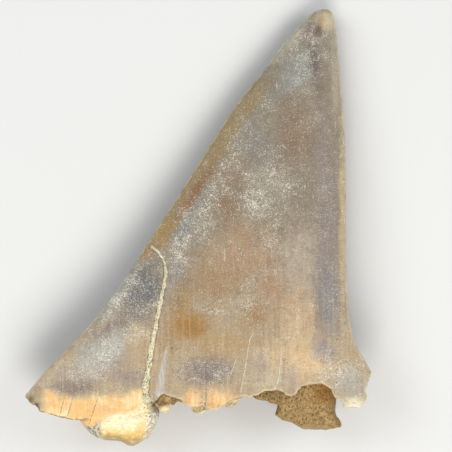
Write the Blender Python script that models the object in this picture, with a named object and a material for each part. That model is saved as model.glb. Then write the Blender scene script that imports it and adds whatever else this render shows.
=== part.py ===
# A fossil mako shark tooth, broken off at the root, lying on its rounded side with its flat face up.
# It is one solid. Lengths are millimetres until the mesh is made: x across the blade, y towards the
# tip, z up. The plan's origin is the middle of the outline as seen from above.

import math

import bmesh
import bpy
import numpy as np
from mathutils import Vector, noise

MM = 0.001

# Driving dimensions
TIP_Y = 15.0  # the tip, half of the 30 mm overall height above the middle
LOW_Y = -15.0  # the lowest point of the root stub
TIP_THICK = 1.3
TIP_ROUND = 1.7  # the length over which the tip's thickness rounds off
TIP_BLUNT = 0.06  # the rounding ends this far past the tip, which leaves the tip blunt
BASE_THICK = 5.4
TAPER_POWER = 0.9  # below 1 the wedge thickens faster near the tip
TAPER_LIMIT = 1.1  # and it stops thickening this many times its length from the tip
EDGE_THICK = 0.26  # the blunt rim of both cutting edges
EDGE_LIMIT = 0.3  # but the rim is never more than this share of the thickness
FACE_BULGE = 0.13  # how far the flat face domes, as a share of the thickness
FACE_POWER = 2.2
BEVEL_WIDTH = 0.8  # the narrow slope along each cutting edge
BEVEL_DROP = 0.12
BEVEL_FULL_HALF = 2.0  # where the blade's half width is less than this, the slope is shallower
BACK_POWER = 2.3  # above 2 the rounded back is flatter in its middle
REST_SINK = 0.1  # how much of the rounded back is worn off flat where it lies
BOW_RISE = 0.35  # how far the back's lowest line rises towards the tip and the base
BOW_MIDDLE_Y = -4.0
BOW_REACH = 15.0
ENAMEL_WALL = 0.55  # the flat face's wall over the hollow
BACK_WALL = 1.8
HOLLOW_END_Y = -6.6  # how far up the open hollow reaches
HOLLOW_GROWTH = 4.0  # the length over which it opens to its full width
HOLLOW_SIDES = ((1.6, -2.3), (6.5, 10.3))  # its left and its right side, at its end and at the base
HOLLOW_START = 0.05  # it is this far open at its end
HOLLOW_POWER = 4  # above 2 its cross-section is boxier than an oval
HOLLOW_SHUT = 0.02  # the share of its height that is left at its sides
LEAST_ROOM = 0.1  # between a form's underside and its top
HOLLOW_SPANS = 14  # across it
HOLLOW_RINGS = 15  # from its end to the base
HOLLOW_PAST = 2.0  # it goes on this far below the tooth
BACK_CUT_DEPTH = 0.25  # the back is cut off from below, up to this far under the face's wall
STEP_UP = 0.14  # the cracked-off corner stands this much proud of the blade, beside the crack
STEP_FADE = 3.5  # and less and less over about this distance
STEP_START_Y = -2.0  # the step grows from nothing here, below the crack's upper end
STEP_GROWTH = 2.5
STEP_CLEAR = 0.03  # points closer than this to the crack stay where they are

ROWS = 46  # of the blade's mesh, from tip to base, closer together near the tip
ROW_CROWDING = 1.35
FIRST_ROW = 0.04  # its distance from the tip
COLUMNS = 24  # across each side, closer together near the edges
COLUMN_CROWDING = 0.65
FAR = 20.0  # well clear of the tooth
PAST_BASE = 1.2  # how far the blade's mesh goes on past the base before it is broken off

# Outlines in plan. The cutting edges run from the tip down and end past the broken base.
LEFT_EDGE = [(8.7, 15.0), (8.1, 14.85), (7.5, 14.4), (6.0, 12.8), (4.45, 10.7), (2.35, 8.0),
             (-1.15, 2.5), (-5.1, -3.65), (-7.15, -6.4), (-9.05, -8.45), (-10.4, -9.8),
             (-11.8, -11.55), (-13.5, -14.0), (-14.5, -16.5)]
RIGHT_EDGE = [(8.7, 15.0), (9.05, 14.85), (9.3, 14.3), (9.45, 13.2), (9.75, 10.05), (10.0, 6.6),
              (10.1, 3.2), (10.1, -1.6), (10.2, -4.8), (10.45, -7.05), (10.9, -8.45), (11.75, -9.8),
              (12.3, -12.0), (13.0, -16.5)]

# The ragged lower edge of the flat face, from the right corner to the crack
BROKEN_EDGE = [(11.8, -10.05), (11.55, -10.75), (11.4, -11.15), (11.45, -11.85), (11.05, -12.35),
               (10.25, -12.3), (9.95, -12.35), (9.75, -11.85), (9.4, -11.7), (8.95, -10.95),
               (8.45, -10.7), (7.3, -10.7), (6.75, -11.1), (6.5, -11.5), (6.05, -11.55),
               (5.65, -11.15), (4.55, -11.15), (3.85, -11.45), (3.45, -11.6), (3.05, -11.55),
               (2.3, -11.75), (1.6, -12.25), (1.15, -12.55), (0.65, -12.45), (0.3, -12.15),
               (-0.15, -12.3), (-0.8, -12.15), (-1.25, -11.75), (-1.8, -11.6), (-2.45, -11.4)]
# The left corner's lower edge, from the root stub to the corner's point
CORNER_EDGE = [(-3.1, -12.0), (-4.1, -12.7), (-5.6, -12.95), (-7.2, -13.0), (-8.1, -13.15), (-8.7, -13.1),
               (-9.8, -12.9), (-10.85, -12.55), (-11.0, -12.15), (-11.35, -12.15), (-11.8, -11.6)]
# The lower edge of the rounded back, hidden from above, a little shorter than the flat face
BACK_EDGE = [(11.2, -10.2), (10.2, -11.3), (8.6, -10.9), (6.4, -11.2), (4.4, -10.6), (2.6, -11.0),
             (0.8, -10.5), (-0.7, -11.3), (-1.7, -11.0), (-2.5, -12.1), (-3.0, -12.9)]

CRACK = [(-4.1, -0.9), (-3.4, -1.2), (-2.9, -1.5), (-2.35, -2.25), (-2.2, -3.3), (-2.5, -5.0),
         (-2.9, -7.05), (-3.25, -9.1), (-3.5, -10.85), (-3.4, -11.8), (-2.8, -12.7)]
CRACK_WIDTHS = (0.1, 0.32)  # at its top and its foot
CRACK_DEPTHS = (0.25, 0.6)
CRACK_WIDENING = 0.7  # below 1 most of the widening is near its top
# Its cross-section: how many widths to the left, how far above the face, and how many depths below it
CRACK_PROFILE = ((1.5, 0.5, 0), (1.0, 0.02, 0), (0.1, 0, 1), (-0.1, 0, 1), (-0.3, 0.5, 0))

# The stub of the left root lobe, and the spongy dentine that lines the back wall
LOBE = [(-8.1, -13.25), (-7.35, -14.15), (-6.7, -14.5), (-5.35, -14.65), (-4.5, -15.0),
        (-3.65, -14.5), (-3.2, -14.1), (-2.85, -13.35), (-2.7, -12.75), (-3.0, -12.2),
        (-3.4, -11.2), (-5.4, -10.5), (-7.6, -11.4)]
LOBE_BEND_Y = -13.1  # below this the stub's face falls away from the blade's
LOBE_FALL = 0.2
LOBE_ROLL = 0.12
LOBE_FULLNESS = 10.0  # how far out its faces stay flat before they roll over
LOBE_UNDERCUT = 0.9  # its underside is broken off this much shorter than its face
LOBE_GRAIN = 0.09
DENTINE = [(5.3, -12.9), (6.1, -13.3), (7.0, -13.7), (8.05, -13.85), (9.5, -13.75), (9.7, -13.5),
           (9.35, -12.65), (9.4, -11.6), (9.3, -10.4), (8.3, -9.3), (6.4, -9.2), (4.6, -10.0),
           (3.7, -11.0), (3.75, -11.65), (4.5, -11.85), (4.95, -12.0), (5.45, -12.2)]
DENTINE_TOP = 3.7
DENTINE_SLOPE = 0.12
DENTINE_LIFT = 0.03  # its underside is this far inside the rounded back
DENTINE_FULLNESS = 12.0
DENTINE_GRAIN = 0.13  # how rough its crumbled surface is
# Three flakes of enamel that still hang from the broken edge
FLAKES = [
    [(-2.9, -12.1), (-2.55, -12.55), (-2.2, -12.6), (-2.0, -12.15), (-1.95, -11.3), (-2.7, -11.2)],
    [(-0.4, -12.2), (-0.45, -12.55), (-0.25, -12.7), (0.4, -12.65), (0.7, -12.4), (0.4, -11.7)],
    [(1.8, -12.15), (1.95, -12.35), (2.55, -12.05), (3.05, -11.5), (2.5, -11.2)],
]
FLAKE_THICK = 0.36

# How a lump is filled out between its underside and its top
LUMP_RINGS = (0.12, 0.35, 0.58, 0.78, 0.92, 0.985)  # how far out from its middle each ring lies
LUMP_POWER = 2.2  # above 2 its sides are fuller than an oval's
LUMP_SPANS = 3  # points along its outline for each one given

BONE = (0.46, 0.37, 0.27, 1.0)
ROUGHNESS = 0.35
GRAIN_PLACE = Vector((3.1, 7.7, 1.3))  # which part of the noise roughens the broken lumps
GRAIN_SCALES = ((1.6, 1.0), (4.1, 0.35))  # the roughness is coarse lumps with finer ones on them
SMOOTH_ANGLE = 38
JOIN_WITHIN = 0.002


def mix(a, b, share):
    return a + (b - a) * share


def smooth_route(points, per_span=6):
    """Points along a Catmull-Rom curve through the given ones."""
    route = []
    for i in range(len(points) - 1):
        p0 = np.array(points[max(i - 1, 0)])
        p1 = np.array(points[i])
        p2 = np.array(points[i + 1])
        p3 = np.array(points[min(i + 2, len(points) - 1)])
        for t in np.linspace(0, 1, per_span, endpoint=False):
            route.append(0.5 * (2 * p1 + (p2 - p0) * t + (2 * p0 - 5 * p1 + 4 * p2 - p3) * t ** 2
                                + (3 * p1 - p0 - 3 * p2 + p3) * t ** 3))
    route.append(np.array(points[-1]))
    return np.array(route)


left_route = smooth_route(LEFT_EDGE)
right_route = smooth_route(RIGHT_EDGE)
crack_route = smooth_route(CRACK, 3)


def x_at(route, y):
    """Where a route that runs downwards has the height y."""
    return float(np.interp(-y, -route[:, 1], route[:, 0]))


def thickness(y):
    """A wedge from the tip to the base, rounded off at the tip's end."""
    share = (TIP_Y - y) / (TIP_Y - LOW_Y)
    ending = min(1.0, (TIP_Y - y + TIP_BLUNT) / TIP_ROUND)
    taper = min(max(share, 0.0), TAPER_LIMIT) ** TAPER_POWER
    return mix(TIP_THICK, BASE_THICK, taper) * math.sqrt(1 - (1 - ending) ** 2)


def back_low(y):
    """The lowest line of the rounded back, a shallow bow that is worn flat in its middle."""
    ending = max(0.0, 1 - (TIP_Y - y) / TIP_ROUND)
    bow = BOW_RISE * ((y - BOW_MIDDLE_Y) / BOW_REACH) ** 2
    return bow - REST_SINK + 0.5 * TIP_THICK * ending ** 2


def across(x, y):
    """From -1 on the left cutting edge to 1 on the right one, 0 midway."""
    left, right = x_at(left_route, y), x_at(right_route, y)
    return (2 * x - left - right) / (right - left)


def rim_height(y):
    return back_low(y) + thickness(y) * (1 - FACE_BULGE)


def face_height(x, y):
    """The flat face: a low dome that slopes down along both cutting edges."""
    s = min(abs(across(x, y)), 1.0)
    half = 0.5 * (x_at(right_route, y) - x_at(left_route, y))
    from_edge = half * (1 - s)
    bevel = BEVEL_DROP * max(0.0, 1 - from_edge / BEVEL_WIDTH) ** 2
    bevel *= min(1.0, half / BEVEL_FULL_HALF)
    return rim_height(y) + thickness(y) * FACE_BULGE * (1 - s ** FACE_POWER) - bevel


def back_height(x, y):
    """The rounded back."""
    s = min(abs(across(x, y)), 1.0)
    rim = rim_height(y) - min(EDGE_THICK, EDGE_LIMIT * thickness(y)) - BEVEL_DROP
    return rim - (rim - back_low(y)) * (1 - s ** BACK_POWER)


def add_object(name, bm):
    """A new object from a mesh whose lengths are millimetres."""
    bmesh.ops.triangulate(bm, faces=bm.faces[:])
    bmesh.ops.recalc_face_normals(bm, faces=bm.faces[:])
    bmesh.ops.scale(bm, vec=(MM, MM, MM), verts=bm.verts[:])
    mesh = bpy.data.meshes.new(name)
    bm.to_mesh(mesh)
    bm.free()
    obj = bpy.data.objects.new(name, mesh)
    bpy.context.scene.collection.objects.link(obj)
    return obj


def skin_rings(name, rings):
    """A closed form through equal rings of points, capped at both ends."""
    bm = bmesh.new()
    made = [[bm.verts.new(p) for p in ring] for ring in rings]
    count = len(made[0])
    for ring, after in zip(made, made[1:]):
        for i in range(count):
            bm.faces.new((ring[i], ring[(i + 1) % count], after[(i + 1) % count], after[i]))
    bm.faces.new(made[0])
    bm.faces.new(made[-1])
    return add_object(name, bm)


def prism(name, outline, low, high):
    """A plan outline drawn out between two heights, which are functions of x and y."""
    return skin_rings(name, [[(x, y, low(x, y)) for x, y in outline],
                             [(x, y, high(x, y)) for x, y in outline]])


def roughness(place):
    """A smooth random shift, the same for the same place."""
    shift = Vector()
    for scale, share in GRAIN_SCALES:
        for axis in range(3):
            shift[axis] += share * noise.noise(place * scale + GRAIN_PLACE * (axis + 1))
    return shift


def pebble(name, outline, low, high, grain, fullness, undercut=0.0):
    """A plan outline filled out to a rough-edged lump between two heights."""
    route = smooth_route(outline + outline[:1], LUMP_SPANS)[:-1]
    middle = route.mean(axis=0)
    levels = [(f, -1) for f in LUMP_RINGS] + [(1.0, 0)] + [(f, 1) for f in reversed(LUMP_RINGS)]
    rings = []
    for f, side in levels:
        ring = []
        for x, y in middle + (route - middle) * f:
            centre = 0.5 * (low(x, y) + high(x, y))
            half = 0.5 * (high(x, y) - low(x, y)) * (1 - f ** fullness) ** (1 / LUMP_POWER)
            back = 2 * undercut * max(0.0, -side) * f * half / max(high(x, y) - low(x, y), LEAST_ROOM)
            place = Vector((x, y + back, centre + side * half))
            ring.append(place + roughness(place) * grain)
        rings.append(ring)
    return skin_rings(name, rings)


def combine(body, other, operation):
    """Join or cut with an exact Boolean, applied, and drop the other mesh."""
    modifier = body.modifiers.new(operation, "BOOLEAN")
    modifier.operation = operation
    modifier.object = other
    modifier.solver = "EXACT"
    result = bpy.data.meshes.new_from_object(body.evaluated_get(bpy.context.evaluated_depsgraph_get()))
    body.modifiers.clear()
    body.data = result
    bpy.data.objects.remove(other)


def make_blade():
    """The whole crown before anything is broken off it: rows across the blade from tip to base."""
    rows = []
    reach = TIP_Y - LOW_Y + PAST_BASE
    for k in range(ROWS + 1):
        y = TIP_Y - FIRST_ROW - reach * (k / ROWS) ** ROW_CROWDING
        left, right = x_at(left_route, y), x_at(right_route, y)
        xs = []
        for j in range(COLUMNS + 1):
            t = j / COLUMNS
            xs.append(mix(left, right, mix(t, 0.5 - 0.5 * math.cos(math.pi * t), COLUMN_CROWDING)))
        face = [(x, y, face_height(x, y)) for x in xs]
        back = [(x, y, back_height(x, y)) for x in reversed(xs)]
        rows.append(face + back)
    return skin_rings("tooth", rows)


def make_hollow():
    """The open hollow: between the face's thin wall and the lined back, closing towards the tip."""
    rings = []
    for y in np.linspace(HOLLOW_END_Y, LOW_Y - HOLLOW_PAST, HOLLOW_RINGS):
        opened = min(1.0, (HOLLOW_END_Y - y + HOLLOW_START) / HOLLOW_GROWTH)
        grown = math.sqrt(1 - (1 - opened) ** 2)
        left = mix(*HOLLOW_SIDES[0], grown)
        right = mix(*HOLLOW_SIDES[1], grown)
        top, under = [], []
        for j in range(HOLLOW_SPANS + 1):
            q = -math.cos(math.pi * j / HOLLOW_SPANS)
            x = mix(left, right, 0.5 + 0.5 * q)
            high = face_height(x, y) - ENAMEL_WALL
            low = max(back_height(x, y), 0.0) + BACK_WALL
            room = max(high - low, LEAST_ROOM)
            shut = max(grown * (1 - abs(q) ** HOLLOW_POWER) ** 0.5, HOLLOW_SHUT)
            half = 0.5 * room * shut
            middle = high - 0.5 * room
            top.append((x, y, middle + half))
            under.append((x, y, middle - half))
        rings.append(top + under[::-1])
    return skin_rings("hollow", rings)


def make_crack():
    """A slanted groove along the crack, wider and deeper towards the base."""
    rings = []
    for i, (x, y) in enumerate(crack_route):
        share = i / (len(crack_route) - 1)
        ahead = crack_route[min(i + 1, len(crack_route) - 1)] - crack_route[max(i - 1, 0)]
        leftward = np.array((ahead[1], -ahead[0])) / np.hypot(*ahead)
        width = mix(*CRACK_WIDTHS, share ** CRACK_WIDENING)
        depth = mix(*CRACK_DEPTHS, share)
        top = face_height(x, y)
        ring = []
        for out, above, below in CRACK_PROFILE:
            up = above - below * depth
            ring.append((x + leftward[0] * out * width, y + leftward[1] * out * width, top + up))
        rings.append(ring)
    return skin_rings("crack", rings)


def raise_corner(obj):
    """The corner beyond the crack stands a little proud, most of all beside the crack."""
    for vertex in obj.data.vertices:
        x, y, z = vertex.co / MM
        past = x_at(crack_route, y) - x
        if past > STEP_CLEAR and z > rim_height(y) - ENAMEL_WALL:
            begun = min(max((STEP_START_Y - y) / STEP_GROWTH, 0.0), 1.0)
            vertex.co.z += STEP_UP * MM * begun * math.exp(-past / STEP_FADE)


def lobe_face(x, y):
    """The root stub goes on from the blade's face and then bends down."""
    past = max(0.0, LOBE_BEND_Y - y)
    fall = LOBE_FALL * past + LOBE_ROLL * past ** 2
    return face_height(x, max(y, LOBE_BEND_Y)) + 0.5 * STEP_UP - fall


def under_face(depth):
    """A height function that keeps the same depth below the flat face."""
    return lambda x, y: face_height(x, max(y, LOW_Y)) - depth


def level(height):
    return lambda x, y: height


def break_base(tooth):
    """Break the face off along its ragged edge, and the back and the inside further up."""
    left, right, below = -FAR, FAR, -FAR
    corners = [(left, CORNER_EDGE[-1][1]), (left, below), (right, below), (right, BROKEN_EDGE[0][1])]
    plan = BROKEN_EDGE + CORNER_EDGE + corners
    combine(tooth, prism("base cut", plan, level(-FAR), level(FAR)), "DIFFERENCE")
    combine(tooth, make_hollow(), "DIFFERENCE")
    back_plan = BACK_EDGE + [(BACK_EDGE[-1][0], below), (right, below), (right, BACK_EDGE[0][1])]
    under = under_face(ENAMEL_WALL + BACK_CUT_DEPTH)
    combine(tooth, prism("back cut", back_plan, level(-FAR), under), "DIFFERENCE")


def add_remains(tooth):
    """What is left of the root and of the dentine, and the hanging flakes."""
    stub = pebble("lobe", LOBE, level(-REST_SINK), lobe_face, LOBE_GRAIN, LOBE_FULLNESS, LOBE_UNDERCUT)
    combine(tooth, stub, "UNION")
    lining = pebble("dentine", DENTINE, lambda x, y: back_height(x, y) + DENTINE_LIFT,
                    lambda x, y: DENTINE_TOP + DENTINE_SLOPE * (y - DENTINE[0][1]),
                    DENTINE_GRAIN, DENTINE_FULLNESS)
    combine(tooth, lining, "UNION")
    for i, outline in enumerate(FLAKES):
        low = under_face(ENAMEL_WALL + 0.5 * FLAKE_THICK)
        high = under_face(ENAMEL_WALL - 0.5 * FLAKE_THICK)
        combine(tooth, prism(f"flake {i}", outline, low, high), "UNION")


def make_tooth():
    tooth = make_blade()
    break_base(tooth)
    combine(tooth, make_crack(), "DIFFERENCE")
    raise_corner(tooth)
    add_remains(tooth)
    ground = [(-FAR, -FAR), (FAR, -FAR), (FAR, FAR), (-FAR, FAR)]
    combine(tooth, prism("worn flat", ground, level(-FAR), level(0.0)), "DIFFERENCE")
    return tooth


def settle(obj):
    """Clean the mesh and centre it over its lowest points."""
    bm = bmesh.new()
    bm.from_mesh(obj.data)
    bmesh.ops.remove_doubles(bm, verts=bm.verts[:], dist=JOIN_WITHIN * MM)
    bmesh.ops.triangulate(bm, faces=bm.faces[:])
    corners = np.array([v.co for v in bm.verts])
    low, high = corners.min(axis=0), corners.max(axis=0)
    centre = 0.5 * (low + high)
    bmesh.ops.translate(bm, vec=(-centre[0], -centre[1], -low[2]), verts=bm.verts[:])
    bm.to_mesh(obj.data)
    bm.free()
    obj.data.shade_smooth()
    obj.data.set_sharp_from_angle(angle=math.radians(SMOOTH_ANGLE))


def bone_material():
    material = bpy.data.materials.new("fossil_enamel")
    material.use_nodes = True
    shader = material.node_tree.nodes["Principled BSDF"]
    shader.inputs["Base Color"].default_value = BONE
    shader.inputs["Roughness"].default_value = ROUGHNESS
    shader.inputs["Metallic"].default_value = 0.0
    return material


for old in list(bpy.data.objects):
    bpy.data.objects.remove(old)
tooth = make_tooth()
settle(tooth)
tooth.data.materials.clear()
tooth.data.materials.append(bone_material())
print("tooth triangles:", len(tooth.data.polygons))
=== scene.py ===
import math

import bpy
import numpy as np
from mathutils import Matrix, Vector, noise
from mathutils.bvhtree import BVHTree
from mathutils.kdtree import KDTree


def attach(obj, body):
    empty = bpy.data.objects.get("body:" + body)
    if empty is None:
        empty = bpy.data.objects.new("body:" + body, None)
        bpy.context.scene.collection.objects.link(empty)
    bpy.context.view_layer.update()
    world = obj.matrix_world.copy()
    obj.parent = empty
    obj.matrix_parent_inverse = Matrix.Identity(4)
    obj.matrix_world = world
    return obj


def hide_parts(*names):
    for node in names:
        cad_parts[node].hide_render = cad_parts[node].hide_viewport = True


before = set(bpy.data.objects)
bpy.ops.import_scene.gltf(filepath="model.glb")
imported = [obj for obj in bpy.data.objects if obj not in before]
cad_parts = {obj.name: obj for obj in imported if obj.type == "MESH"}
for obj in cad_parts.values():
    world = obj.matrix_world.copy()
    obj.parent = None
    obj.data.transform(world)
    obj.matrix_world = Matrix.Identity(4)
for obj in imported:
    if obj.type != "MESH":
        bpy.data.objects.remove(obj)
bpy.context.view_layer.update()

mm = 0.001
sameSpot = 1e-7  # metres: points closer than this are one
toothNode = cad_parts["tooth"]
print("frame loaded")

# Plan places are millimetres from the middle of the tooth's outline, x to the right and y to the tip.
# Pieces are worked on in millimetres and brought to metres when they are done.

outlines = {
    "left": [(8.7, 15.0), (8.1, 14.85), (7.5, 14.4), (6.0, 12.8), (4.45, 10.7), (2.35, 8.0),
             (-1.15, 2.5), (-5.1, -3.65), (-7.15, -6.4), (-9.05, -8.45), (-10.4, -9.8), (-11.8, -11.55)],
    "right": [(8.7, 15.0), (9.05, 14.85), (9.3, 14.3), (9.45, 13.2), (9.75, 10.05), (10.0, 6.6),
              (10.1, 3.2), (10.1, -1.6), (10.2, -4.8), (10.45, -7.05), (10.9, -8.45), (11.75, -9.8)],
    "broken": [(11.8, -10.05), (11.55, -10.75), (11.4, -11.15), (11.45, -11.85), (11.05, -12.35),
               (9.95, -12.35), (9.75, -11.85), (9.4, -11.7), (8.95, -10.95), (8.45, -10.7), (7.3, -10.7),
               (6.75, -11.1), (6.5, -11.5), (6.05, -11.55), (5.65, -11.15), (4.55, -11.15),
               (3.85, -11.45), (3.45, -11.6), (3.05, -11.55), (2.3, -11.75), (1.6, -12.25),
               (1.15, -12.55), (0.65, -12.45), (0.3, -12.15), (-0.15, -12.3), (-0.8, -12.15),
               (-1.25, -11.75), (-1.8, -11.6), (-2.45, -11.4)],
    "corner": [(-3.1, -12.0), (-4.1, -12.7), (-5.6, -12.95), (-7.2, -13.0), (-8.1, -13.15), (-8.7, -13.1),
               (-9.8, -12.9), (-10.85, -12.55), (-11.0, -12.15), (-11.35, -12.15), (-11.8, -11.6)],
    "seam": [(-4.1, -0.9), (-3.4, -1.2), (-2.9, -1.5), (-2.35, -2.25), (-2.2, -3.3), (-2.5, -5.0),
             (-2.9, -7.05), (-3.25, -9.1), (-3.5, -10.85), (-3.4, -11.8), (-2.8, -12.7)],
}


spans = {"left": 4, "right": 4, "broken": 1, "corner": 1, "seam": 4, "rootBorder": 4, "crack": 5, "rim": 2,
         "lip": 8}  # how many steps a route takes between two of its points


def curveThrough(points, perSpan):
    # a smooth route through the given plan points
    p = np.array(points, float)
    route = []
    for i in range(len(p) - 1):
        a, b, c, d = p[max(i - 1, 0)], p[i], p[i + 1], p[min(i + 2, len(p) - 1)]
        for t in np.linspace(0, 1, perSpan, endpoint=False):
            route.append(0.5 * (2 * b + (c - a) * t + (2 * a - 5 * b + 4 * c - d) * t ** 2
                                + (3 * b - a - 3 * c + d) * t ** 3))
    route.append(p[-1])
    return np.array(route)


def nearRoute(places, route):
    # for each place, its distance from a route, the side it lies on and how far along it is, 0 to 1
    best = np.full(len(places), np.inf)
    side = np.zeros(len(places))
    along = np.zeros(len(places))
    steps = np.linalg.norm(np.diff(route, axis=0), axis=1)
    starts = np.concatenate([[0], np.cumsum(steps)])
    for i in range(len(route) - 1):
        a, d = route[i], route[i + 1] - route[i]
        rel = places - a
        t = np.clip((rel @ d) / max(d @ d, 1e-12), 0, 1)
        gap = rel - t[:, None] * d
        far = np.hypot(gap[:, 0], gap[:, 1])
        closer = far < best
        best[closer] = far[closer]
        side[closer] = np.sign(d[0] * rel[:, 1] - d[1] * rel[:, 0])[closer]
        along[closer] = ((starts[i] + t * steps[i]) / starts[-1])[closer]
    return best, side, along


def ease(value, low, high):
    t = np.clip((value - low) / (high - low), 0, 1)
    return t * t * (3 - 2 * t)


grainDrift = (1.0, 0.37, 1.9)  # how far a shift of 1 moves the noise along each axis


def grain(places, scale, shift):
    # smooth noise about -1 to 1 at each place
    moved = Vector([shift * step for step in grainDrift])
    return np.array([noise.noise(Vector(p) * scale + moved) for p in places])


def readPoints(piece, what="co"):
    flat = np.empty(len(piece.data.vertices) * 3, np.float32)
    piece.data.vertices.foreach_get(what, flat)
    return flat.reshape(-1, 3).astype(float)


def writePoints(piece, points):
    piece.data.vertices.foreach_set("co", points.astype(np.float32).ravel())
    piece.data.update()


def spread(piece, values, times):
    # each point's value is evened out with those beside it
    ends = np.empty(len(piece.data.edges) * 2, np.int32)
    piece.data.edges.foreach_get("vertices", ends)
    ends = ends.reshape(-1, 2)
    count = np.bincount(ends.ravel(), minlength=len(values)) + 1
    for _ in range(times):
        total = values + np.bincount(ends[:, 0], values[ends[:, 1]], len(values)) \
            + np.bincount(ends[:, 1], values[ends[:, 0]], len(values))
        values = total / count
    return values


def keep(piece, name, values):
    data = piece.data.attributes.new(name, "FLOAT", "POINT").data
    data.foreach_set("value", np.asarray(values, np.float32))


def pick(piece):
    bpy.ops.object.select_all(action="DESELECT")
    piece.select_set(True)
    bpy.context.view_layer.objects.active = piece


def copyTooth(name):
    # a copy of the solid, joined up and brought to millimetres
    pick(toothNode)
    bpy.ops.object.duplicate()
    piece = bpy.context.active_object
    piece.name = piece.data.name = name
    piece.parent = None
    piece.matrix_world = Matrix.Identity(4)
    pick(piece)
    bpy.ops.object.mode_set(mode="EDIT")
    bpy.ops.mesh.select_all(action="SELECT")
    bpy.ops.mesh.remove_doubles(threshold=sameSpot)
    bpy.ops.object.mode_set(mode="OBJECT")
    piece.data.transform(Matrix.Scale(1 / mm, 4))
    piece.data.materials.clear()
    return piece


def addModifier(piece, kind, **settings):
    pick(piece)
    bpy.ops.object.modifier_add(type=kind)
    modifier = piece.modifiers[-1]
    for key, value in settings.items():
        setattr(modifier, key, value)
    bpy.ops.object.modifier_apply(modifier=modifier.name)


def remesh(piece, size):
    addModifier(piece, "REMESH", mode="VOXEL", voxel_size=size)


def relax(piece, times, group=""):
    # evens out the surface, within a group of points if one is named
    addModifier(piece, "SMOOTH", factor=0.5, iterations=times, vertex_group=group)


def prism(outline, low, tall):
    # an upright block over a plan outline
    bpy.ops.object.select_all(action="DESELECT")
    bpy.ops.mesh.primitive_circle_add(vertices=len(outline), radius=1, fill_type="NGON")
    block = bpy.context.active_object
    for vertex, (x, y) in zip(block.data.vertices, outline):
        vertex.co = (x, y, low)
    bpy.ops.object.mode_set(mode="EDIT")
    bpy.ops.mesh.select_all(action="SELECT")
    bpy.ops.mesh.extrude_region_move(TRANSFORM_OT_translate={"value": (0, 0, tall)})
    bpy.ops.mesh.select_all(action="SELECT")
    bpy.ops.mesh.normals_make_consistent(inside=False)
    bpy.ops.object.mode_set(mode="OBJECT")
    return block


def planeAt(plane, x, y):
    # the height of a sloping plane: at its middle, its rise along x and y, and its middle's place
    height, riseX, riseY, middleX, middleY = plane
    return height + riseX * (x - middleX) + riseY * (y - middleY)


def cutWith(piece, outline, low, top):
    # keeps what lies inside a plan outline, from a height up to a sloping plane
    tall = 1
    block = prism(outline, low, tall)
    for vertex in block.data.vertices:
        if vertex.co.z > low + tall / 2:
            vertex.co.z = planeAt(top, vertex.co.x, vertex.co.y)
    addModifier(piece, "BOOLEAN", operation="INTERSECT", solver="EXACT", object=block)
    bpy.data.objects.remove(block)


def finishPiece(piece, material):
    piece.data.transform(Matrix.Scale(mm, 4))
    piece.data.materials.clear()
    piece.data.materials.append(material)
    pick(piece)
    bpy.ops.object.shade_smooth()
    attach(piece, "root")
    print(piece.name, len(piece.data.vertices), "points")


def linear(colour):
    # a colour as seen on a screen, 0 to 255, for a socket
    return tuple(((c / 255 + 0.055) / 1.055) ** 2.4 for c in colour) + (1.0,)


class Wire:
    # an output socket that is added, multiplied and so on as a number is
    def __init__(self, finish, socket):
        self.finish, self.socket = finish, socket

    def sum(self, operation, *terms):
        return self.finish.sum(operation, *terms)

    def __add__(self, other):
        return self.sum("ADD", self, other)

    def __sub__(self, other):
        return self.sum("SUBTRACT", self, other)

    def __rsub__(self, other):
        return self.sum("SUBTRACT", other, self)

    def __mul__(self, other):
        return self.sum("MULTIPLY", self, other)

    def __truediv__(self, other):
        return self.sum("DIVIDE", self, other)

    def __pow__(self, other):
        return self.sum("POWER", self, other)

    def __abs__(self):
        return self.sum("ABSOLUTE", self)

    __radd__, __rmul__ = __add__, __mul__

    def swing(self, amount):
        # a noise, which lies about a half, made to swing about 0
        return (self - 0.5) * amount


lightness = 1.35  # how brightly the studio lights the tooth: colours are given as seen
patchEdge = (1.25, 0.15)  # in reaches from its middle, where a patch ends and where it is full


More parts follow.
